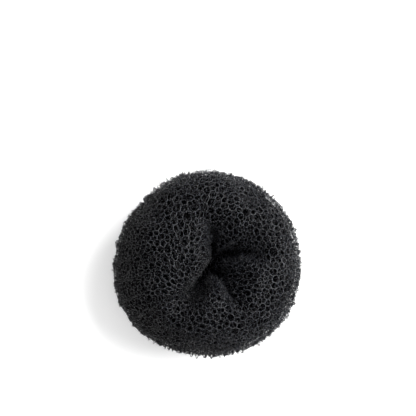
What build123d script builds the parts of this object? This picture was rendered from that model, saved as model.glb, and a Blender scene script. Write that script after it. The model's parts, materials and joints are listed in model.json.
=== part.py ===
from build123d import *
from collections import namedtuple
import math
import os

# A hair bun maker: a tube of knitted net, rolled up on itself into a soft ring whose hole nearly closes.
# The turns of net lie close on each other, down to a narrow hollow core inside the innermost turn.
# Millimetres, +Z up. The origin is on the rest plane, below the middle of the ring's outline.
# Angles are in degrees. A plan angle turns about +Z from +X. A roll angle turns round the ring's
# section: 0 faces outwards, 90 up, 180 into the hole and 270 down.

# The ring, under its loose loops.
RING_DIAMETER = 59.0
RING_HEIGHT = 28.0
REST_PRESS = 0.4

# The hole at its narrowest: a long oval, and the plan angle that it is long in.
THROAT_WIDTH = 6.6
THROAT_LENGTH = 10.6
THROAT_TURN = 95.0
HOLE_X = 0.7
HOLE_Y = 0.3

# The hollow inside the innermost turn of net.
CORE_DIAMETER = 9.0

# The tube is fuller than an oval above and below the throat, where the turns press on each other.
FULLNESS = 0.10
FULLNESS_ROLL_ANGLE = 140.0
FULLNESS_HALF_ROLL = 32.0
LOWER_FULLNESS = 0.12
LOWER_FULLNESS_ROLL_ANGLE = 215.0
LOWER_FULLNESS_HALF_ROLL = 26.0

# Creases narrow from the hole to the crest of the ring, and fade out below the throat.
FOLD_NARROWING = 0.40
FOLD_RISE = 70.0
UNDERSIDE_FADE_START = 165.0
UNDERSIDE_FADE_END = 225.0

# Where the outside gathers lie on the section, and how far round it they reach.
GATHER_ROLL_ANGLE = 12.0
GATHER_HALF_ROLL = 52.0

# How many sections the surface passes through, and how each section is divided.
SECTIONS = 72
ARCS_PER_SECTION = 8
STEPS_PER_ARC = 3

Fold = namedtuple("Fold", "throat_angle crest_angle depth half_width fades_by")
Swell = namedtuple("Swell", "angle height half_width")
Lobe = namedtuple("Lobe", "angle roll_angle height half_width half_roll")

# Creases that run out of the hole. Depth is a share of the tube's half width.
FOLDS = [
    Fold(throat_angle=90, crest_angle=116, depth=0.46, half_width=16, fades_by=86),
    Fold(throat_angle=28, crest_angle=6, depth=0.48, half_width=17, fades_by=72),
    Fold(throat_angle=44, crest_angle=40, depth=0.22, half_width=13, fades_by=80),
    Fold(throat_angle=236, crest_angle=230, depth=0.60, half_width=19, fades_by=50),
    Fold(throat_angle=284, crest_angle=290, depth=0.48, half_width=11, fades_by=72),
    Fold(throat_angle=308, crest_angle=306, depth=0.12, half_width=10, fades_by=86),
]

# The plan outline. Height is a share of the ring's radius, added to the base, and less than 0 in a hollow.
OUTLINE_BASE = 0.984
SWELLS = [
    Swell(angle=203, height=0.076, half_width=32),
    Swell(angle=33, height=0.032, half_width=34),
    Swell(angle=335, height=0.022, half_width=38),
    Swell(angle=268, height=-0.022, half_width=26),
    Swell(angle=136, height=-0.022, half_width=14),
]

# Shallow gathers across the outside. Height is their depth, as a share of the tube's half width.
GATHERS = [
    Swell(angle=177, height=0.045, half_width=4.0),
    Swell(angle=190, height=0.060, half_width=4.5),
    Swell(angle=201, height=0.040, half_width=3.8),
    Swell(angle=213, height=0.060, half_width=4.5),
]

# Lobes between the creases. Height is a share of the tube's half width.
LOBES = [
    Lobe(angle=168, roll_angle=128, height=0.12, half_width=28, half_roll=34),
    Lobe(angle=66, roll_angle=130, height=0.05, half_width=20, half_roll=34),
    Lobe(angle=334, roll_angle=126, height=0.06, half_width=30, half_roll=34),
    Lobe(angle=256, roll_angle=124, height=0.05, half_width=20, half_roll=34),
]


def angle_between(first, second):
    """Signed difference of two angles, from -180 to 180."""
    return (first - second + 180) % 360 - 180


def bell(offset, half_width):
    """A smooth bump that is 1 in its middle."""
    return math.exp(-((offset / half_width) ** 2))


def ease(value, start, end):
    """Smooth rise from 0 at start to 1 at end."""
    share = min(max((value - start) / (end - start), 0), 1)
    return share * share * (3 - 2 * share)


def plan_direction(plan_angle):
    """Unit vector at a plan angle."""
    return Vector(math.cos(math.radians(plan_angle)), math.sin(math.radians(plan_angle)), 0)


def outline_point(plan_angle):
    """Point of the plan outline, before the outline is centred on the origin."""
    share = OUTLINE_BASE
    for swell in SWELLS:
        share += swell.height * bell(angle_between(plan_angle, swell.angle), swell.half_width)
    return plan_direction(plan_angle) * (RING_DIAMETER / 2 * share)


def outline_middle():
    """Middle of the box round the plan outline."""
    points = [outline_point(plan_angle) for plan_angle in range(360)]
    across = [point.X for point in points]
    along = [point.Y for point in points]
    return Vector((min(across) + max(across)) / 2, (min(along) + max(along)) / 2, 0)


OUTLINE_MIDDLE = outline_middle()
MIDDLE_HEIGHT = RING_HEIGHT / 2 - REST_PRESS


def throat_reach(plan_angle):
    """Distance from the hole's middle to the side of the throat."""
    turn = math.radians(plan_angle - THROAT_TURN)
    return 1 / math.hypot(math.cos(turn) / (THROAT_LENGTH / 2), math.sin(turn) / (THROAT_WIDTH / 2))


def fold_share(plan_angle, roll_angle):
    """Depth of the creases that run out of the hole."""
    from_throat = min(max((180 - roll_angle) / 90, 0), 1)
    above_underside = 1 - ease(roll_angle, UNDERSIDE_FADE_START, UNDERSIDE_FADE_END)
    share = 0
    for fold in FOLDS:
        angle = fold.throat_angle + (fold.crest_angle - fold.throat_angle) * from_throat
        half_width = fold.half_width * (1 - FOLD_NARROWING * from_throat)
        along = ease(roll_angle, fold.fades_by, fold.fades_by + FOLD_RISE) * above_underside
        share += fold.depth * along * bell(angle_between(plan_angle, angle), half_width)
    return share


def gather_share(plan_angle, roll_angle):
    """Depth of the shallow gathers on the outside."""
    share = 0
    for gather in GATHERS:
        share += gather.height * bell(angle_between(plan_angle, gather.angle), gather.half_width)
    return share * bell(angle_between(roll_angle, GATHER_ROLL_ANGLE), GATHER_HALF_ROLL)


def lobe_share(plan_angle, roll_angle):
    """Height of the fuller sides of the hole and of the lobes on them."""
    share = FULLNESS * bell(angle_between(roll_angle, FULLNESS_ROLL_ANGLE), FULLNESS_HALF_ROLL)
    from_lower = angle_between(roll_angle, LOWER_FULLNESS_ROLL_ANGLE)
    share += LOWER_FULLNESS * bell(from_lower, LOWER_FULLNESS_HALF_ROLL)
    for lobe in LOBES:
        across = bell(angle_between(plan_angle, lobe.angle), lobe.half_width)
        share += lobe.height * across * bell(angle_between(roll_angle, lobe.roll_angle), lobe.half_roll)
    return share


def form_reach(plan_angle, roll_angle, half_width):
    """Distance from the middle of a section to the outside of the ring."""
    across = math.cos(math.radians(roll_angle)) / half_width
    upward = math.sin(math.radians(roll_angle)) / (RING_HEIGHT / 2)
    relief = lobe_share(plan_angle, roll_angle)
    relief -= fold_share(plan_angle, roll_angle)
    relief -= gather_share(plan_angle, roll_angle)
    return 1 / math.hypot(across, upward) + half_width * relief


def section_middle(plan_angle):
    """Middle, outward direction and half width of the section at a plan angle."""
    outer = outline_point(plan_angle) - OUTLINE_MIDDLE
    inner = Vector(HOLE_X, HOLE_Y, 0) + plan_direction(plan_angle) * throat_reach(plan_angle)
    middle = (outer + inner) * 0.5 + Vector(0, 0, MIDDLE_HEIGHT)
    return middle, (outer - inner).normalized(), (outer - inner).length / 2


def section_wire(plan_angle):
    """One closed section of the ring, in arcs that run smoothly into each other."""
    middle, outward, half_width = section_middle(plan_angle)

    def surface_point(roll_angle):
        ray = outward * math.cos(math.radians(roll_angle))
        ray += Vector(0, 0, math.sin(math.radians(roll_angle)))
        return middle + ray * form_reach(plan_angle, roll_angle % 360, half_width)

    def surface_slope(roll_angle):
        return (surface_point(roll_angle + 0.5) - surface_point(roll_angle - 0.5)).normalized()

    # Every section has its points at the same steps, so the surface through them stays light.
    steps = [index / STEPS_PER_ARC for index in range(STEPS_PER_ARC + 1)]
    span = 360 / ARCS_PER_SECTION
    arcs = []
    for index in range(ARCS_PER_SECTION):
        start = span * index
        points = [surface_point(start + span * step) for step in steps]
        slopes = [surface_slope(start), surface_slope(start + span)]
        arcs.append(Edge.make_spline(points, tangents=slopes, parameters=steps))
    return Wire(arcs)


def rolled_net():
    """The whole ring: lofted round through its sections, hollow inside and flat where it rests."""
    wires = [section_wire(360 * index / SECTIONS) for index in range(SECTIONS)]
    ring = Solid.make_loft(wires + [wires[0]])
    core_middle = (Vector(HOLE_X, HOLE_Y, 0) - OUTLINE_MIDDLE) * 0.5 + Vector(0, 0, MIDDLE_HEIGHT)
    core_path_radius = (RING_DIAMETER + (THROAT_WIDTH + THROAT_LENGTH) / 2) / 4
    core = Pos(core_middle) * Torus(core_path_radius, CORE_DIAMETER / 2)
    side = 2 * RING_DIAMETER
    above_rest = Box(side, side, side, align=(Align.CENTER, Align.CENTER, Align.MIN))
    return (ring - core) & above_rest


os.makedirs("parts", exist_ok=True)
net_roll = rolled_net()
export_step(net_roll, "parts/net_roll.step")
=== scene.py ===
import json
import math
from collections import namedtuple

import bpy
import numpy as np
from mathutils import Matrix, Vector, noise
from mathutils.bvhtree import BVHTree
from mathutils.geometry import delaunay_2d_cdt
from mathutils.kdtree import KDTree


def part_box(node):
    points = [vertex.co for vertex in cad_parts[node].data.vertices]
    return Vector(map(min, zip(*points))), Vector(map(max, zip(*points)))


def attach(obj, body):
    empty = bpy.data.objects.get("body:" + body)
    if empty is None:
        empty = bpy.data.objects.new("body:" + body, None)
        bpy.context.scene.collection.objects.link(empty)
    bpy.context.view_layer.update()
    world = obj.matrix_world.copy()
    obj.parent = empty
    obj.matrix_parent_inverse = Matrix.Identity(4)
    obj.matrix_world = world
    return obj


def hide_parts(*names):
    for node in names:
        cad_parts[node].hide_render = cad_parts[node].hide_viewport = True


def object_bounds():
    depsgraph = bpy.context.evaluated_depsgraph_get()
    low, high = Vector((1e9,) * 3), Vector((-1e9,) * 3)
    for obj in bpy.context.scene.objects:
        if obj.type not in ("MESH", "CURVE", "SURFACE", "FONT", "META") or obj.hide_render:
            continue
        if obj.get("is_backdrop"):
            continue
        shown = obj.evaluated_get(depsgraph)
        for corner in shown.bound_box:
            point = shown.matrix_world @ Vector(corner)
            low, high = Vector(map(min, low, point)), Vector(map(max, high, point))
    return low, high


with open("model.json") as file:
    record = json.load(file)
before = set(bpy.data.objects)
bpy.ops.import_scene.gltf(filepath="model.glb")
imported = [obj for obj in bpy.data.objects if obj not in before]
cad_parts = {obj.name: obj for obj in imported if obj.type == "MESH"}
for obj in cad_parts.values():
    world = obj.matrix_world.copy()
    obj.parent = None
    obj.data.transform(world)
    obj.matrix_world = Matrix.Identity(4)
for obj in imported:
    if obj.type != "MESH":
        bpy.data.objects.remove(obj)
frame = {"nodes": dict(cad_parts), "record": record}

bl_info = {
    "name": "Hair bun maker",
    "version": (1, 0, 0),
    "blender": (4, 5, 0),
    "location": "3D View > Sidebar > Bun maker",
    "description": "Knits the net of a soft bun ring round its rolled form, and sets a plain stage",
    "category": "Object",
}

# Metres, +Z up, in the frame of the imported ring. The ring is one node, a soft form without its knitting.
NODE = "net_roll"
BODY = "root"
HOLE = next(mount for mount in frame["record"]["mounts"] if mount["name"] == "ponytail_hole")

# Rays that find the form's surface: columns round the hole and rows round the ring's section. They
# start this far outside. The outline that they start from keeps this many waves.
RAY_COLUMNS = 240
RAY_ROWS = 120
RAY_CLEARANCE = 0.005
OUTLINE_WAVES = 6
# The form's own grid.
FORM_COLUMNS = 200
FORM_ROWS = 160
# Its columns are spread by the length of the folded surface, with a little by plan angle.
SPREAD_BY_LENGTH = 0.85
# What each point of the grid holds: its place, the way to the middle of its section and the way out
# of the surface, whose last number tells how level the surface lies.
PLACE = slice(0, 3)
INWARD = slice(3, 6)
OUTWARD = slice(6, 9)
UPWARD = 8

# Below the lobes the loose turns draw the hole together: by this share of its width, at this height,
# this far above and below it, and this far from its middle.
PINCH = 0.97
PINCH_HEIGHT = 0.010
PINCH_SPREAD = 0.005
PINCH_REACH = 0.012

# Cells of the net get smaller towards the hole, by this power of the distance from its middle.
CELL_TAPER = 0.08
OUTER_RADIUS = 0.029
# They are smaller by this share on the steep sides. That starts at this distance from the hole's middle,
# and is full after as much again.
STEEP_CLOSER = 0.28
STEEP_START = 0.008
# They are larger by this share on the underside.
UNDERSIDE_WIDER = 0.2
# They are larger or smaller by up to this share in patches, which come so often per metre.
PATCH_CHANGE = 0.25
PATCH_SCALE = 150.0
# The area of a cell, as a share of its pitch squared.
CELL_AREA = math.sqrt(0.75)

# Round this plan angle the steep side of the net is pressed flat, fully so from this steepness on.
PRESSED_ANGLE = math.radians(200)
PRESSED_HALF_WIDTH = math.radians(48)
PRESSED_STEEPNESS = 0.625
# There the cells are smaller by this share and the net stands this far out. The same share darkens the
# strands as painted shade, for the side that faces away from the lamp.
PRESSED_CLOSER = 0.36
PRESSED_SWELL = 0.0005
# There they are also drawn together into gathers, by this share of the way round the hole. A whole
# way round would have so many gathers.
GATHER_PULL = 0.0049
GATHERS_IN_TURN = 31

# How the cells of a turn are spread: chance places on the form and rounds of evening out.
CHANCE_PLACES = 30000
ROUNDS = 12
# Triangles between cells are sought this far past each end of the form's grid. Cells nearer to each
# other than this count as one.
OVERLAP = 0.15
SAME_CELL = 1e-9

# The net's turns, from the outermost one inwards.
# The light is a turn's share of the outermost turn's colour and gloss. It is painted shade, which makes
# the deeper turns darker because less light reaches them.
Turn = namedtuple("Turn", "name pitch depth light seed")
TURNS = [
    Turn(name="net_outer_turn", pitch=0.00225, depth=0.0, light=1.0, seed=3),
    Turn(name="net_second_turn", pitch=0.0022, depth=0.0005, light=0.45, seed=17),
    Turn(name="net_third_turn", pitch=0.0024, depth=0.0011, light=0.22, seed=29),
    Turn(name="net_fourth_turn", pitch=0.0025, depth=0.0017, light=0.1, seed=41),
]
# A loop of net is a little larger than its cell, so it crosses its neighbours.
LOOP_OVER_CELL = 1.04

# Loose loops are sized and raised by chance, between these shares, and lean by up to this angle.
LOOSE_SIZES = (0.6, 1.3)
LOOSE_HEIGHTS = (0.5, 1.2)
LOOSE_LEAN = 0.5
# They are smaller by these shares where the net is pressed and where it lies level.
LOOSE_PRESSED_SMALLER = 0.55
LOOSE_LEVEL_SMALLER = 0.5

# The closed turns lie less deep by these shares on the steep sides and where the net is pressed.
STEEP_SHALLOWER = 0.62
PRESSED_SHALLOWER = 0.75

# Painted sparkle: how sharply strands change from dark to light along their length, standing in for
# glints, how much of them is dark, and how much their roughness changes.
PAINTED_SPARKLE_CONTRAST = 3.4
PAINTED_SPARKLE_DARKENING = 1.5
ROUGHNESS_CHANGE = 0.16
# How thin the strands of the closed turns are, and their share of the dark colour, which is painted shade.
DEEP_THINNESS = 6.0
DEEP_STRAND_SHADED_SHARE = 0.15
# The darker patches of the floor, as a share of its colour.
FLOOR_SHADE = 0.985


# Node trees.


class Sum:
    """A number in a node tree. Arithmetic on it adds Math nodes."""

    def __init__(self, maker, socket):
        self.maker = maker
        self.socket = socket

    def __add__(self, other):
        return self.maker.math("ADD", self, other)

    def __sub__(self, other):
        return self.maker.math("SUBTRACT", self, other)

    def __rsub__(self, other):
        return self.maker.math("SUBTRACT", other, self)

    def __mul__(self, other):
        return self.maker.math("MULTIPLY", self, other)

    __radd__ = __add__
    __rmul__ = __mul__


class NodeMaker:
    """Adds nodes to one tree."""

    def __init__(self, tree):
        self.tree = tree
        self.tree.nodes.clear()

    def node(self, kind, settings=(), sockets=()):
        """A new node. Its settings are set first, then the values or links of its input sockets."""
        made = self.tree.nodes.new(kind)
        for name, setting in dict(settings).items():
            setattr(made, name, setting)
        for name, value in dict(sockets).items():
            self.fill(self.found(made.inputs, name), value)
        return made

    def found(self, sockets, name):
        """The socket in use with that name or number."""
        if isinstance(name, int):
            return sockets[name]
        return next(socket for socket in sockets if socket.name == name and socket.enabled)

    def fill(self, socket, value):
        """Links a socket, or gives it a value."""
        if isinstance(value, Sum):
            value = value.socket
        if isinstance(value, bpy.types.NodeSocket):
            self.tree.links.new(value, socket)
        else:
            socket.default_value = value

    def out(self, kind, settings=(), sockets=(), name=0):
        """The output socket of a new node."""
        return self.found(self.node(kind, settings, sockets).outputs, name)

    def number(self, kind, settings=(), sockets=(), name=0):
        """The output of a new node, as a number."""
        return Sum(self, self.out(kind, settings, sockets, name))

    def math(self, operation, *values):
        """A Math node on one, two or three numbers."""
        return self.number("ShaderNodeMath", {"operation": operation}, dict(enumerate(values)))

    def vector(self, operation, *values):
        """A Vector Math node that gives a vector."""
        return self.out("ShaderNodeVectorMath", {"operation": operation}, dict(enumerate(values)))

    def scaled(self, vector, scale):
        """A vector times a number."""
        sockets = {0: vector, "Scale": scale}
        return self.out("ShaderNodeVectorMath", {"operation": "SCALE"}, sockets)

    def joined(self, x, y, z):
        """A vector from three numbers."""
        return self.out("ShaderNodeCombineXYZ", {}, {0: x, 1: y, 2: z})

    def inputs(self):
        """The tree's own inputs, by name."""
        given = self.node("NodeGroupInput").outputs
        return {name: Sum(self, given[name]) for name in given.keys() if name}

    def kept(self, kind, name):
        """A number or a vector that the geometry carries under a name."""
        settings = {"data_type": kind}
        return self.number("GeometryNodeInputNamedAttribute", settings, {"Name": name}, "Attribute")

    def chance(self, low, high, seed):
        """A chance number for each element."""
        sockets = {"Min": low, "Max": high, "Seed": seed}
        return self.number("FunctionNodeRandomValue", {"data_type": "FLOAT"}, sockets, "Value")


def input_identifiers(tree):
    """The identifiers of a tree's own inputs, by name."""
    items = [item for item in tree.interface.items_tree if item.item_type == "SOCKET"]
    return {item.name: item.identifier for item in items if item.in_out == "INPUT"}


def new_tree(name, inputs):
    """A Geometry Nodes tree that takes a geometry and named inputs."""
    tree = bpy.data.node_groups.new(name, "GeometryNodeTree")
    tree.interface.new_socket("Geometry", in_out="INPUT", socket_type="NodeSocketGeometry")
    for input_name, kind in inputs:
        tree.interface.new_socket(input_name, in_out="INPUT", socket_type="NodeSocket" + kind)
    tree.interface.new_socket("Geometry", in_out="OUTPUT", socket_type="NodeSocketGeometry")
    return tree


def finished(maker, curves, radius, material):
    """Ends a tree: curves become three-sided strands with a material."""
    profile = maker.out("GeometryNodeCurvePrimitiveCircle", {}, {"Resolution": 3, "Radius": radius})
    sockets = {"Curve": curves, "Profile Curve": profile, "Fill Caps": True}
    strands = maker.out("GeometryNodeCurveToMesh", {}, sockets)
    smooth = maker.out("GeometryNodeSetShadeSmooth", {}, {"Geometry": strands})
    real = maker.out("GeometryNodeRealizeInstances", {}, {"Geometry": smooth})
    dressed = maker.out("GeometryNodeSetMaterial", {}, {"Geometry": real, "Material": material})
    maker.node("NodeGroupOutput", {}, {0: dressed})


def above_rest(maker, geometry, radius):
    """Lifts the points that lie lower than a strand can, to the plane that the ring rests on."""
    place = maker.out("GeometryNodeInputPosition")
    parts = maker.node("ShaderNodeSeparateXYZ", {}, {0: place}).outputs
    lifted = maker.joined(parts[0], parts[1], maker.math("MAXIMUM", Sum(maker, parts[2]), radius))
    return maker.out("GeometryNodeSetPosition", {}, {"Geometry": geometry, "Position": lifted})


# The form.


def smoothed(values, waves):
    """A closed row of numbers with only its slow changes left."""
    spectrum = np.fft.rfft(values)
    spectrum[waves + 1:] = 0
    return np.fft.irfft(spectrum, len(values))


def hit(tree, start, direction):
    """Where a ray meets the form."""
    place = tree.ray_cast(Vector(start), Vector(direction))[0]
    if place is None:
        raise RuntimeError("a ray missed the ring's form")
    return np.array(place)


def cast_form():
    """Rows and columns of points on the ring, each with the direction to the middle of its section."""
    mesh = frame["nodes"][NODE].data
    corners = [vertex.co for vertex in mesh.vertices]
    tree = BVHTree.FromPolygons(corners, [tuple(face.vertices) for face in mesh.polygons])
    low, high = (np.array(corner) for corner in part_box(NODE))
    hole = np.array([*HOLE["pos_m"][:2], (low[2] + high[2]) / 2])
    hole_radius = HOLE["dims"]["r_mm"] / 1000
    turns = np.linspace(0, 2 * math.pi, RAY_COLUMNS, endpoint=False)
    outward = np.stack([np.cos(turns), np.sin(turns), np.zeros(RAY_COLUMNS)], axis=1)
    far = high[0] - low[0]
    outline = [np.linalg.norm(hit(tree, hole + way * far, -way) - hole) for way in outward]
    outline = smoothed(np.array(outline), OUTLINE_WAVES)
    grid = np.zeros((RAY_ROWS, RAY_COLUMNS, 6))
    for column, way in enumerate(outward):
        half_width = (outline[column] - hole_radius) / 2
        middle = hole + way * (hole_radius + half_width)
        for row in range(RAY_ROWS):
            roll = 2 * math.pi * row / RAY_ROWS
            ray = way * math.cos(roll) + np.array([0, 0, math.sin(roll)])
            reach = half_width + RAY_CLEARANCE
            if math.cos(roll) < 0:
                reach = min(reach, (half_width + hole_radius) / -math.cos(roll))
            grid[row, column, PLACE] = hit(tree, middle + ray * reach, -ray)
            grid[row, column, INWARD] = -ray
    return grid


def evened(line, steps, count):
    """A closed line of points, taken again at even shares of the sum of its steps."""
    along = np.concatenate([[0], np.cumsum(steps)]) / np.sum(steps)
    closed = np.concatenate([line, line[:1]])
    shares = np.arange(count) / count
    return np.stack([np.interp(shares, along, part) for part in closed.T], axis=1)


def step_lengths(lines, axis):
    """The length of each step along closed lines of points."""
    return np.linalg.norm((np.roll(lines, -1, axis=axis) - lines)[..., PLACE], axis=-1)


def pinch_share(points):
    """How strongly the net is drawn together at points of the form, from 0 to 1."""
    apart = points[..., :2] - np.array(HOLE["pos_m"][:2])
    near = 1 - (apart ** 2).sum(axis=-1) / PINCH_REACH ** 2
    level = np.exp(-(((points[..., 2] - PINCH_HEIGHT) / PINCH_SPREAD) ** 2))
    return np.maximum(near, 0) * level


def pinched(grid):
    """The grid with the sides of the hole drawn together below its lobes."""
    hole = np.array(HOLE["pos_m"][:2])
    kept = 1 - PINCH * pinch_share(grid)
    return np.concatenate([hole + (grid[..., :2] - hole) * kept[..., None], grid[..., 2:]], axis=-1)


def form_grid():
    """The form's grid, with steps about as long one way as the other, and its height over its width."""
    rays = pinched(cast_form())
    rows = []
    for line in rays:
        lengths = step_lengths(line, 0)
        by_length = SPREAD_BY_LENGTH * lengths / lengths.sum()
        rows.append(evened(line, by_length + (1 - SPREAD_BY_LENGTH) / RAY_COLUMNS, FORM_COLUMNS))
    rows = np.array(rows)
    across = step_lengths(rows, 1).mean(axis=1)
    steps = step_lengths(rows, 0) / ((across + np.roll(across, -1)) / 2)[:, None]
    columns = [evened(rows[:, column], steps[:, column], FORM_ROWS) for column in range(FORM_COLUMNS)]
    grid = np.stack(columns, axis=1)
    over = np.roll(grid, -1, axis=1) - np.roll(grid, 1, axis=1)
    along = np.roll(grid, -1, axis=0) - np.roll(grid, 1, axis=0)
    normals = np.cross(over[..., PLACE], along[..., PLACE])
    normals /= np.linalg.norm(normals, axis=-1, keepdims=True)
    height = steps.sum(axis=0).mean() / FORM_COLUMNS
    return np.concatenate([grid, normals], axis=-1), height


GRID, GRID_HEIGHT = form_grid()


def on_grid(shares):
    """The grid's points at shares of the way round the hole and round the section."""
    size = np.array([FORM_COLUMNS, FORM_ROWS])
    scaled = (shares % 1) * size
    corner = scaled.astype(int)
    column, row = (corner % size).T
    part = scaled - corner
    right, up = part[:, :1], part[:, 1:]
    next_column = (column + 1) % FORM_COLUMNS
    next_row = (row + 1) % FORM_ROWS
    lower = GRID[row, column] * (1 - right) + GRID[row, next_column] * right
    upper = GRID[next_row, column] * (1 - right) + GRID[next_row, next_column] * right
    return lower * (1 - up) + upper * up


def pressed_share(points):
    """How flat the net is pressed at points of the grid, from 0 to 1. It also sets the strands' painted
    shade.
    """
    turn = np.arctan2(points[..., 1], points[..., 0])
    off = (turn - PRESSED_ANGLE + math.pi) % (2 * math.pi) - math.pi
    steep = 1 - np.clip(points[..., UPWARD], 0, 1)
    share = np.exp(-((off / PRESSED_HALF_WIDTH) ** 2)) * np.minimum(steep / PRESSED_STEEPNESS, 1)
    return share.astype(np.float32)


def cell_numbers(pitch):
    """How many cells of the net each piece of the grid holds."""
    over = (np.roll(GRID, -1, axis=1) - GRID)[..., PLACE]
    along = (np.roll(GRID, -1, axis=0) - GRID)[..., PLACE]
    area = np.linalg.norm(np.cross(over, along), axis=-1)
    from_hole = np.linalg.norm(GRID[..., :2] - np.array(HOLE["pos_m"][:2]), axis=-1)
    pitches = pitch * (from_hole / OUTER_RADIUS) ** CELL_TAPER
    outside = np.clip((from_hole - STEEP_START) / STEEP_START, 0, 1)
    pitches = pitches * (1 - STEEP_CLOSER * outside * (1 - np.abs(GRID[..., UPWARD])))
    pitches = pitches * (1 + UNDERSIDE_WIDER * np.maximum(-GRID[..., UPWARD], 0))
    pitches = pitches * (1 - PRESSED_CLOSER * pressed_share(GRID))
    places = GRID[..., PLACE].reshape(-1, 3) * PATCH_SCALE
    patches = np.array([noise.noise(Vector(place)) for place in places]).reshape(area.shape)
    pitches = pitches * (1 + PATCH_CHANGE * patches)
    return area / (CELL_AREA * pitches ** 2)


def spread(pitch, seed):
    """Shares of places spread over the whole form, one for each cell of the net."""
    chance = np.random.default_rng(seed)
    numbers = cell_numbers(pitch)
    count = round(numbers.sum())
    picked = chance.choice(numbers.size, CHANCE_PLACES, p=numbers.ravel() / numbers.sum())
    corner = np.stack([picked % FORM_COLUMNS, picked // FORM_COLUMNS], axis=1)
    shares = (corner + chance.random((CHANCE_PLACES, 2))) / np.array([FORM_COLUMNS, FORM_ROWS])
    places = on_grid(shares)[:, PLACE]
    cells = shares[:count].copy()
    for _ in range(ROUNDS):
        tree = KDTree(count)
        for index, place in enumerate(on_grid(cells)[:, PLACE]):
            tree.insert(place, index)
        tree.balance()
        nearest = np.array([tree.find(place)[1] for place in places])
        off = (shares - cells[nearest] + 0.5) % 1 - 0.5
        sizes = np.maximum(np.bincount(nearest, minlength=count), 1)
        shift = [np.bincount(nearest, off[:, part], count) / sizes for part in range(2)]
        cells = (cells + np.stack(shift, axis=1)) % 1
    return cells


def spread_mesh(name, cells, faces):
    """The cells on the form as a helper mesh, with their directions and how flat they are pressed, which
    also sets the strands' painted shade.
    """
    gathers = np.sin(2 * math.pi * GATHERS_IN_TURN * cells[:, 0])
    pull = GATHER_PULL * gathers * pressed_share(on_grid(cells))
    values = on_grid(cells + np.stack([pull, np.zeros(len(cells))], axis=1))
    pressed = pressed_share(values)
    places = values[:, PLACE] - values[:, INWARD] * (PRESSED_SWELL * pressed)[:, None]
    values = values.astype(np.float32)
    mesh = bpy.data.meshes.new(name)
    mesh.from_pydata(places.tolist(), [], faces)
    flatness = mesh.attributes.new("pressed", "FLOAT", "POINT")
    flatness.data.foreach_set("value", pressed)
    for attribute, part in (("inward", INWARD), ("outward", OUTWARD)):
        directions = mesh.attributes.new(attribute, "FLOAT_VECTOR", "POINT")
        directions.data.foreach_set("vector", values[:, part].ravel())
    return mesh


def triangles(cells):
    """Triangles between neighbouring cells, right round the hole and right round the section."""
    shifts = [(right, up) for up in (0, -1, 1) for right in (0, -1, 1)]
    copies = np.concatenate([cells + np.array(shift) for shift in shifts])
    near = np.all((copies > -OVERLAP) & (copies < 1 + OVERLAP), axis=1)
    number = np.nonzero(near)[0] % len(cells)
    flat = copies[near] * np.array([1.0, GRID_HEIGHT])
    found = delaunay_2d_cdt([Vector(place) for place in flat], [], [], 0, SAME_CELL)
    faces = []
    for face in found[2]:
        originals = [found[3][corner][0] for corner in face]
        middle = flat[originals].mean(axis=0)
        if 0 <= middle[0] < 1 and 0 <= middle[1] < GRID_HEIGHT:
            faces.append([int(number[original]) for original in originals])
    return faces


# Geometry Nodes.


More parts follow.
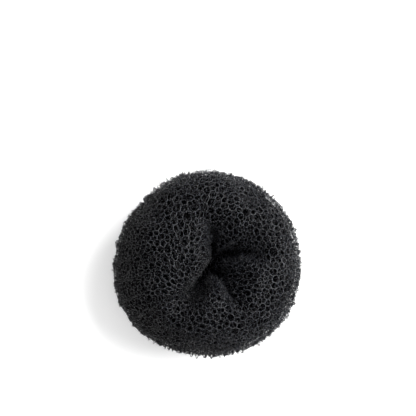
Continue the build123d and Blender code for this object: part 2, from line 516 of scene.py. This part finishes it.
def net_tree():
    """Knitted loops: each cell between the triangles of a net becomes a rounded loop of strand, which
    meets its neighbours' loops side by side. Loops lie a little higher or lower by chance."""
    tree = new_tree("net on form", [
        ("Strand radius", "Float"),
        ("Points per loop", "Int"),
        ("Depth", "Float"),
        ("Wander", "Float"),
        ("Wander scale", "Float"),
        ("Billow", "Float"),
        ("Billow scale", "Float"),
        ("Size change", "Float"),
        ("Lift", "Float"),
        ("Twist", "Float"),
        ("Twist scale", "Float"),
        ("Seed", "Int"),
        ("Material", "Material"),
    ])
    maker = NodeMaker(tree)
    take = maker.inputs()
    place = maker.out("GeometryNodeInputPosition")

    def clouds(scale):
        sockets = {"Vector": place, "W": take["Seed"], "Scale": scale, "Detail": 1.0}
        return maker.node("ShaderNodeTexNoise", {"noise_dimensions": "4D"}, sockets).outputs

    def of_loop(extra):
        """A chance number from -1 to 1 that is the same all along a loop."""
        value = maker.chance(-1.0, 1.0, take["Seed"] + extra)
        return maker.number("GeometryNodeFieldOnDomain", {"domain": "FACE"}, {0: value})

    billow = Sum(maker, clouds(take["Billow scale"])[0]) * 2.0 - 1.0
    sunk = maker.scaled(maker.kept("FLOAT_VECTOR", "inward"), take["Depth"] + billow * take["Billow"])
    drift = maker.vector("SUBTRACT", clouds(take["Wander scale"])[1], (0.5, 0.5, 0.5))
    offset = maker.vector("ADD", sunk, maker.scaled(drift, take["Wander"] * 2.0))
    moved = maker.out("GeometryNodeSetPosition", {}, {"Geometry": take["Geometry"], "Offset": offset})
    cells = maker.out("GeometryNodeDualMesh", {}, {"Mesh": moved})
    loose = maker.out("GeometryNodeSplitEdges", {}, {"Mesh": cells})
    sockets = {"Geometry": loose, "Scale": of_loop(1) * take["Size change"] + LOOP_OVER_CELL}
    sized = maker.out("GeometryNodeScaleElements", {"domain": "FACE"}, sockets)
    settings = {"domain": "FACE", "data_type": "FLOAT_VECTOR"}
    facing = maker.out("GeometryNodeFieldOnDomain", settings, {0: maker.out("GeometryNodeInputNormal")})
    settings = {"domain": "POINT", "data_type": "FLOAT_VECTOR"}
    sockets = {"Geometry": sized, "Name": "facing", "Value": facing}
    marked = maker.out("GeometryNodeStoreNamedAttribute", settings, sockets)
    lift = of_loop(2) * take["Lift"] * (1.0 - maker.kept("FLOAT", "pressed"))
    offset = maker.scaled(maker.kept("FLOAT_VECTOR", "facing"), lift)
    lifted = maker.out("GeometryNodeSetPosition", {}, {"Geometry": marked, "Offset": offset})
    curves = maker.out("GeometryNodeMeshToCurve", {}, {"Mesh": lifted})
    curves = maker.out("GeometryNodeSubdivideCurve", {}, {"Curve": curves, "Cuts": 1})
    curves = maker.out("GeometryNodeCurveSplineType", {"spline_type": "NURBS"}, {"Curve": curves})
    sockets = {"Curve": curves, "Count": take["Points per loop"]}
    curves = maker.out("GeometryNodeResampleCurve", {}, sockets)
    ripple = (Sum(maker, clouds(take["Twist scale"])[0]) * 2.0 - 1.0) * take["Twist"]
    offset = maker.scaled(maker.kept("FLOAT_VECTOR", "facing"), ripple)
    curves = maker.out("GeometryNodeSetPosition", {}, {"Geometry": curves, "Offset": offset})
    curves = above_rest(maker, curves, take["Strand radius"])
    finished(maker, curves, take["Strand radius"], take["Material"])
    return tree


def loop_tree():
    """Loose loops of strand that stand out of the net, each turned and sized by chance."""
    tree = new_tree("loose loops on form", [
        ("Loop width", "Float"),
        ("Loop height", "Float"),
        ("Sunk", "Float"),
        ("Strand radius", "Float"),
        ("Seed", "Int"),
        ("Material", "Material"),
    ])
    maker = NodeMaker(tree)
    take = maker.inputs()

    def chance(low, high, extra):
        return maker.chance(low, high, take["Seed"] + extra)

    away = maker.kept("FLOAT_VECTOR", "outward")
    offset = maker.scaled(away, take["Sunk"] * -1.0)
    points = maker.out("GeometryNodeSetPosition", {}, {"Geometry": take["Geometry"], "Offset": offset})
    sockets = {"Resolution": 6, "Radius": 0.5, "Start Angle": 0.0, "Sweep Angle": math.pi}
    arc = maker.out("GeometryNodeCurveArc", {"mode": "RADIUS"}, sockets)
    sockets = {"Geometry": arc, "Rotation": (math.pi / 2, 0.0, 0.0)}
    upright = maker.out("GeometryNodeTransform", {}, sockets)
    leans = [chance(-LOOSE_LEAN, LOOSE_LEAN, extra) for extra in (2.0, 5.0)]
    spin = maker.joined(*leans, chance(0.0, 2 * math.pi, 3.0))
    spun = maker.out("FunctionNodeEulerToRotation", {}, {0: spin})
    sockets = {"Rotation": spun, "Vector": away}
    faced = maker.out("FunctionNodeAlignRotationToVector", {"axis": "Z"}, sockets)
    pressed = maker.kept("FLOAT", "pressed")
    upward = Sum(maker, maker.node("ShaderNodeSeparateXYZ", {}, {0: away}).outputs[2])
    steep = 1.0 - maker.math("ABSOLUTE", upward) * LOOSE_LEVEL_SMALLER
    size = chance(*LOOSE_SIZES, 4.0) * (1.0 - pressed * LOOSE_PRESSED_SMALLER) * steep
    width = take["Loop width"] * size
    height = take["Loop height"] * 2.0 * size * chance(*LOOSE_HEIGHTS, 6.0)
    sockets = {
        "Points": points,
        "Instance": upright,
        "Rotation": faced,
        "Scale": maker.joined(width, width, height),
    }
    loops = maker.out("GeometryNodeInstanceOnPoints", {}, sockets)
    loops = maker.out("GeometryNodeRealizeInstances", {}, {"Geometry": loops})
    loops = above_rest(maker, loops, take["Strand radius"])
    finished(maker, loops, take["Strand radius"], take["Material"])
    return tree


def made_by(tree, name, form, values):
    """Runs a tree on the form, and keeps what it makes as a plain mesh."""
    piece = bpy.data.objects.new(name, form)
    bpy.context.scene.collection.objects.link(piece)
    modifier = piece.modifiers.new("net", "NODES")
    modifier.node_group = tree
    identifiers = input_identifiers(tree)
    for value_name, value in values.items():
        modifier[identifiers[value_name]] = value
    depsgraph = bpy.context.evaluated_depsgraph_get()
    mesh = bpy.data.meshes.new_from_object(piece.evaluated_get(depsgraph), depsgraph=depsgraph)
    piece.modifiers.remove(modifier)
    mesh.name = name
    piece.data = mesh
    return piece


def mounted(piece):
    """The piece rides on the ring's body and stands for the ring's form."""
    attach(piece, BODY)
    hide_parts(NODE)


# Materials.


def surface(name):
    """A material with a shader on its output, and the maker of its nodes."""
    material = bpy.data.materials.new(name)
    material.use_nodes = True
    maker = NodeMaker(material.node_tree)
    shader = maker.node("ShaderNodeBsdfPrincipled")
    maker.node("ShaderNodeOutputMaterial", {}, {"Surface": shader.outputs[0]})
    return material, maker, shader


def cloudy(maker, scale, detail):
    """Cloudy numbers from 0 to 1 that stay with the object."""
    place = maker.node("ShaderNodeTexCoord").outputs["Object"]
    sockets = {"Vector": place, "Scale": scale, "Detail": detail}
    return maker.number("ShaderNodeTexNoise", {}, sockets, "Fac")


def mixed(maker, share, first, second):
    """A colour between two colours."""
    sockets = {"Factor": share, "A": first, "B": second}
    return maker.out("ShaderNodeMix", {"data_type": "RGBA"}, sockets, "Result")


def nylon_material(name, finish, light):
    """Glossy nylon strands with painted sparkle and painted shade. Light and dark patches along them stand
    in for glints, the strands are darker where the net is pressed as painted shade for the side that faces
    away from the lamp, and the light share dims colour and gloss as painted shade. The gloss is a little
    uneven.
    """
    material, maker, shader = surface(name)
    # Painted shade: the strands darken where the net is pressed, on the side away from the lamp. Painted
    # sparkle: cloudy light and dark patches along the strands stand in for glints.
    pressed = maker.number("ShaderNodeAttribute", {"attribute_name": "pressed"}, {}, "Fac")
    patches = cloudy(maker, scale=2200.0, detail=2.0) * PAINTED_SPARKLE_CONTRAST - PAINTED_SPARKLE_DARKENING - pressed
    fine = cloudy(maker, scale=5200.0, detail=1.0)
    ends = [(*(part * light for part in end), 1.0) for end in (finish.dark, finish.light)]
    maker.fill(shader.inputs["Base Color"], mixed(maker, patches, *ends))
    lowest = finish.roughness - ROUGHNESS_CHANGE / 2
    maker.fill(shader.inputs["Roughness"], fine * ROUGHNESS_CHANGE + lowest)
    # Painted shade: the light share also dims the gloss of the deeper turns and of the loose loops.
    shader.inputs["Specular IOR Level"].default_value = finish.gloss * light
    bump = {"Strength": 0.25, "Distance": 0.00004, "Height": fine}
    maker.fill(shader.inputs["Normal"], maker.out("ShaderNodeBump", {}, bump))
    return material


def wound_material(finish):
    """The deep turns, pressed flat: rough strands with painted shade, with dark cells between strands that
    are darker than the dark strand colour and without gloss, because little light reaches them.
    """
    material, maker, shader = surface("black net in depth")
    place = maker.node("ShaderNodeTexCoord").outputs["Object"]
    cells = {"Vector": place, "Scale": finish.cell_scale}
    edge = maker.number("ShaderNodeTexVoronoi", {"feature": "DISTANCE_TO_EDGE"}, cells, "Distance")
    strand = 1.0 - maker.math("MINIMUM", edge * DEEP_THINNESS, 1.0)
    # Painted shade: the deep strands are a darkened copy of the dark strand colour.
    faint = tuple(part * DEEP_STRAND_SHADED_SHARE for part in finish.dark)
    colour = mixed(maker, strand, (*finish.deep, 1.0), (*faint, 1.0))
    maker.fill(shader.inputs["Base Color"], colour)
    shader.inputs["Roughness"].default_value = 1.0
    # Painted shade: the deep turns have no gloss.
    shader.inputs["Specular IOR Level"].default_value = 0.0
    bump = {"Strength": 0.8, "Distance": 0.0003, "Height": strand}
    maker.fill(shader.inputs["Normal"], maker.out("ShaderNodeBump", {}, bump))
    return material


def floor_material(stage):
    """Plain pale floor, faintly uneven, that glows a little so that shadows stay light."""
    material, maker, shader = surface("pale floor")
    patches = cloudy(maker, scale=3.0, detail=2.0)
    pale = tuple(stage.floor_colour)
    shade = tuple(part * FLOOR_SHADE for part in pale)
    maker.fill(shader.inputs["Base Color"], mixed(maker, patches, (*pale, 1.0), (*shade, 1.0)))
    shader.inputs["Roughness"].default_value = 0.9
    shader.inputs["Emission Color"].default_value = (1.0, 1.0, 1.0, 1.0)
    shader.inputs["Emission Strength"].default_value = stage.floor_glow
    return material


# Settings.


class NetSizes(bpy.types.PropertyGroup):
    """Sizes of the knitted net."""

    openness: bpy.props.FloatProperty(
        name="Openness", description="Factor on the size of every turn's loops", default=1.0
    )
    strand_radius: bpy.props.FloatProperty(
        name="Strand radius", description="Half the thickness of a strand",
        default=0.000042, unit="LENGTH"
    )
    points_per_loop: bpy.props.IntProperty(
        name="Points per loop", description="How finely a loop is bent", default=9, min=6
    )
    wander: bpy.props.FloatProperty(
        name="Wander", description="How far loops leave their even places", default=0.0003, unit="LENGTH"
    )
    wander_scale: bpy.props.FloatProperty(
        name="Wander scale", description="How often the loops wander, per metre", default=260.0
    )
    billow: bpy.props.FloatProperty(
        name="Billow", description="How far a turn of net swells and sinks",
        default=0.00025, unit="LENGTH"
    )
    billow_scale: bpy.props.FloatProperty(
        name="Billow scale", description="How often a turn of net swells, per metre", default=120.0
    )
    size_change: bpy.props.FloatProperty(
        name="Size change", description="How much larger or smaller a loop may be", default=0.09,
        subtype="FACTOR", min=0.0, max=0.5
    )
    lift: bpy.props.FloatProperty(
        name="Lift", description="How much higher or lower a loop may lie", default=0.0003, unit="LENGTH"
    )
    twist: bpy.props.FloatProperty(
        name="Twist", description="How far the strand of a loop rises and falls", default=0.0003,
        unit="LENGTH"
    )
    twist_scale: bpy.props.FloatProperty(
        name="Twist scale", description="How often a strand rises and falls, per metre", default=700.0
    )


class LoopSizes(bpy.types.PropertyGroup):
    """Sizes of the loose loops."""

    pitch: bpy.props.FloatProperty(
        name="Pitch", description="Distance between loose loops", default=0.00165, unit="LENGTH"
    )
    width: bpy.props.FloatProperty(
        name="Loop width", description="Width of a loose loop", default=0.0010, unit="LENGTH"
    )
    height: bpy.props.FloatProperty(
        name="Loop height", description="How far a loose loop stands out", default=0.0016, unit="LENGTH"
    )
    sunk: bpy.props.FloatProperty(
        name="Sunk", description="How deep the ends of a loop lie in the net",
        default=0.0004, unit="LENGTH"
    )
    strand_radius: bpy.props.FloatProperty(
        name="Strand radius", description="Half the thickness of a loose strand", default=0.00013,
        unit="LENGTH"
    )
    # Painted shade: the loose loops are a darker, less glossy copy of the strand colour.
    light: bpy.props.FloatProperty(
        name="Light", description="Share of the strands' colour that the loose loops have", default=0.3,
        subtype="FACTOR", min=0.0, max=1.0
    )
    seed: bpy.props.IntProperty(
        name="Seed", description="Picks how the loops are turned and sized", default=7
    )


class NetFinish(bpy.types.PropertyGroup):
    """Colours and gloss of the net."""

    dark: bpy.props.FloatVectorProperty(
        name="Dark strand", description="Darkest colour of a strand", default=(0.008, 0.009, 0.012),
        subtype="COLOR", size=3, min=0.0, max=1.0
    )
    # The light strand colour is painted sparkle, mixed in patches along the strands as glints.
    light: bpy.props.FloatVectorProperty(
        name="Light strand", description="Lightest colour of a strand", default=(0.102, 0.111, 0.14),
        subtype="COLOR", size=3, min=0.0, max=1.0
    )
    # Painted shade: the deep net is near black, because little light reaches it.
    deep: bpy.props.FloatVectorProperty(
        name="Deep net", description="Colour between the strands of the deep turns",
        default=(0.0005, 0.0005, 0.0006), subtype="COLOR", size=3, min=0.0, max=1.0
    )
    roughness: bpy.props.FloatProperty(
        name="Roughness", description="How dull the strands are", default=0.26,
        subtype="FACTOR", min=0.0, max=1.0
    )
    gloss: bpy.props.FloatProperty(
        name="Gloss", description="How strongly the strands shine", default=1.0,
        subtype="FACTOR", min=0.0, max=1.0
    )
    cell_scale: bpy.props.FloatProperty(
        name="Cell scale", description="Cells of the deep turns, per metre", default=420.0
    )


class RollSizes(bpy.types.PropertyGroup):
    """Sizes of the wound turns in the ring's depth."""

    depth: bpy.props.FloatProperty(
        name="Depth", description="How deep the closed turns start", default=0.0021, unit="LENGTH"
    )


class StageSizes(bpy.types.PropertyGroup):
    """The floor, the lights and the camera."""

    floor_side: bpy.props.FloatProperty(
        name="Floor side", description="Side of the floor", default=1.6, unit="LENGTH"
    )
    floor_colour: bpy.props.FloatVectorProperty(
        name="Floor colour", description="Colour of the floor", default=(0.86, 0.86, 0.86),
        subtype="COLOR", size=3, min=0.0, max=1.0
    )
    floor_glow: bpy.props.FloatProperty(
        name="Floor glow", description="How strongly the floor itself glows", default=0.4, min=0.0
    )
    sky_strength: bpy.props.FloatProperty(
        name="Sky strength", description="Strength of the light from all round", default=0.65
    )
    key_power: bpy.props.FloatProperty(
        name="Key power", description="Power of the large soft lamp", default=32.0, unit="POWER"
    )
    key_side: bpy.props.FloatProperty(
        name="Key side", description="Side of the large soft lamp", default=1.2, unit="LENGTH"
    )
    key_place: bpy.props.FloatVectorProperty(
        name="Key place", description="Where the large soft lamp stands", default=(0.75, 0.35, 0.75),
        subtype="XYZ", unit="LENGTH", size=3
    )
    plan_angle: bpy.props.FloatProperty(
        name="Camera plan angle", description="Where the camera stands, about +Z from +X",
        default=math.radians(206), unit="ROTATION"
    )
    elevation: bpy.props.FloatProperty(
        name="Camera elevation", description="How high the camera stands above the horizon",
        default=math.radians(70), unit="ROTATION"
    )
    distance: bpy.props.FloatProperty(
        name="Camera distance", description="From the camera to the ring", default=0.3119, unit="LENGTH"
    )
    lens: bpy.props.FloatProperty(
        name="Lens", description="Focal length in millimetres", default=85.0
    )
    aim_up: bpy.props.FloatProperty(
        name="Aim up", description="How far above the ring's middle the camera aims", default=0.0173,
        unit="LENGTH"
    )
    aim_right: bpy.props.FloatProperty(
        name="Aim right", description="How far right of the ring's middle the camera aims",
        default=-0.0007, unit="LENGTH"
    )


# Operators.


class BUNMAKER_OT_net(bpy.types.Operator):
    """Knits the turns of net that show, from the outermost inwards"""

    bl_idname = "bun_maker.net"
    bl_label = "Knit the turns of net"

    def execute(self, context):
        sizes = context.scene.bun_net
        tree = net_tree()
        for turn in TURNS:
            # Each turn gets its own copy of the strand material, darkened by its light share as painted
            # shade.
            material = nylon_material(turn.name + " strand", context.scene.bun_finish, turn.light)
            cells = spread(turn.pitch * sizes.openness, turn.seed)
            form = spread_mesh(turn.name, cells, triangles(cells))
            piece = made_by(tree, turn.name, form, {
                "Strand radius": sizes.strand_radius,
                "Points per loop": sizes.points_per_loop,
                "Depth": turn.depth,
                "Wander": sizes.wander,
                "Wander scale": sizes.wander_scale,
                "Billow": sizes.billow,
                "Billow scale": sizes.billow_scale,
                "Size change": sizes.size_change,
                "Lift": sizes.lift,
                "Twist": sizes.twist,
                "Twist scale": sizes.twist_scale,
                "Seed": turn.seed,
                "Material": material,
            })
            mounted(piece)
        return {"FINISHED"}


class BUNMAKER_OT_loops(bpy.types.Operator):
    """Adds the loose loops that stand out of the net"""

    bl_idname = "bun_maker.loops"
    bl_label = "Add the loose loops"

    def execute(self, context):
        sizes = context.scene.bun_loops
        form = spread_mesh("loose loop places", spread(sizes.pitch, sizes.seed), [])
        piece = made_by(loop_tree(), "net_loose_loops", form, {
            "Loop width": sizes.width,
            "Loop height": sizes.height,
            "Sunk": sizes.sunk,
            "Strand radius": sizes.strand_radius,
            "Seed": sizes.seed,
            "Material": nylon_material("loose loop strand", context.scene.bun_finish, sizes.light),
        })
        mounted(piece)
        return {"FINISHED"}


class BUNMAKER_OT_roll(bpy.types.Operator):
    """Makes the closed turns that lie below the open ones"""

    bl_idname = "bun_maker.roll"
    bl_label = "Wind the deep turns"

    def execute(self, context):
        depth = context.scene.bun_roll.depth
        depths = depth * (1 - STEEP_SHALLOWER * (1 - np.abs(GRID[..., UPWARD])))
        depths = depths * (1 - PRESSED_SHALLOWER * pressed_share(GRID)) * (1 - pinch_share(GRID))
        points = (GRID[..., PLACE] + GRID[..., INWARD] * depths[..., None]).reshape(-1, 3)
        faces = []
        for row in range(FORM_ROWS):
            upper = (row + 1) % FORM_ROWS
            for column in range(FORM_COLUMNS):
                side = (column + 1) % FORM_COLUMNS
                faces.append((
                    row * FORM_COLUMNS + column,
                    row * FORM_COLUMNS + side,
                    upper * FORM_COLUMNS + side,
                    upper * FORM_COLUMNS + column,
                ))
        mesh = bpy.data.meshes.new("net_deep_turns")
        mesh.from_pydata(points.tolist(), [], faces)
        mesh.materials.append(wound_material(context.scene.bun_finish))
        mesh.shade_smooth()
        piece = bpy.data.objects.new("net_deep_turns", mesh)
        context.scene.collection.objects.link(piece)
        mounted(piece)
        return {"FINISHED"}


class BUNMAKER_OT_stage(bpy.types.Operator):
    """Sets the pale floor, the soft light and the camera"""

    bl_idname = "bun_maker.stage"
    bl_label = "Set the stage"

    def execute(self, context):
        stage = context.scene.bun_stage
        low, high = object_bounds()
        middle = (low + high) / 2
        half = stage.floor_side / 2
        mesh = bpy.data.meshes.new("floor")
        corners = [(-half, -half, 0.0), (half, -half, 0.0), (half, half, 0.0), (-half, half, 0.0)]
        mesh.from_pydata(corners, [], [(0, 1, 2, 3)])
        mesh.materials.append(floor_material(stage))
        floor = bpy.data.objects.new("floor", mesh)
        context.scene.collection.objects.link(floor)
        floor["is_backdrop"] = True

        world = bpy.data.worlds.new("soft studio")
        world.use_nodes = True
        background = world.node_tree.nodes["Background"]
        background.inputs["Color"].default_value = (1.0, 1.0, 1.0, 1.0)
        background.inputs["Strength"].default_value = stage.sky_strength
        context.scene.world = world
        context.scene.view_settings.view_transform = "Standard"

        lamp = bpy.data.lights.new("key", "AREA")
        lamp.energy = stage.key_power
        lamp.size = stage.key_side
        key = bpy.data.objects.new("key", lamp)
        key.location = Vector(stage.key_place)
        key.rotation_euler = key.location.to_track_quat("Z", "Y").to_euler()
        context.scene.collection.objects.link(key)

        back = Vector((
            math.cos(stage.plan_angle) * math.cos(stage.elevation),
            math.sin(stage.plan_angle) * math.cos(stage.elevation),
            math.sin(stage.elevation),
        ))
        north = Vector((0.0, 1.0, 0.0))
        up = (north - back * north.dot(back)).normalized()
        right = up.cross(back)
        lens = bpy.data.cameras.new("photo camera")
        lens.lens = stage.lens
        lens.clip_start = 0.01
        camera = bpy.data.objects.new("photo camera", lens)
        turned = Matrix((right, up, back)).transposed().to_4x4()
        place = middle + up * stage.aim_up + right * stage.aim_right + back * stage.distance
        camera.matrix_world = Matrix.Translation(place) @ turned
        context.scene.collection.objects.link(camera)
        context.scene.camera = camera
        return {"FINISHED"}


class BUNMAKER_PT_panel(bpy.types.Panel):
    """Lists the steps that make the bun ring"""

    bl_idname = "BUNMAKER_PT_panel"
    bl_label = "Bun maker"
    bl_space_type = "VIEW_3D"
    bl_region_type = "UI"
    bl_category = "Bun maker"

    def draw(self, context):
        for names, operator in SECTIONS:
            box = self.layout.box()
            for name in names:
                settings = getattr(context.scene, name)
                for key in settings.__annotations__:
                    box.prop(settings, key)
            box.operator(operator.bl_idname)


GROUPS = {
    "bun_net": NetSizes,
    "bun_loops": LoopSizes,
    "bun_finish": NetFinish,
    "bun_roll": RollSizes,
    "bun_stage": StageSizes,
}
# The panel's boxes: the settings that each shows, and its operator.
SECTIONS = [
    (("bun_finish", "bun_net"), BUNMAKER_OT_net),
    (("bun_loops",), BUNMAKER_OT_loops),
    (("bun_roll",), BUNMAKER_OT_roll),
    (("bun_stage",), BUNMAKER_OT_stage),
]


def register():
    for name, group in GROUPS.items():
        bpy.utils.register_class(group)
        setattr(bpy.types.Scene, name, bpy.props.PointerProperty(type=group))
    for _, operator in SECTIONS:
        bpy.utils.register_class(operator)
    bpy.utils.register_class(BUNMAKER_PT_panel)


def unregister():
    bpy.utils.unregister_class(BUNMAKER_PT_panel)
    for _, operator in reversed(SECTIONS):
        bpy.utils.unregister_class(operator)
    for name, group in reversed(GROUPS.items()):
        delattr(bpy.types.Scene, name)
        bpy.utils.unregister_class(group)


def main():
    """Makes every piece, then the stage."""
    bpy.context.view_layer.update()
    register()
    bpy.ops.bun_maker.net()
    bpy.ops.bun_maker.loops()
    bpy.ops.bun_maker.roll()
    bpy.ops.bun_maker.stage()


if __name__ == "__main__":
    main()
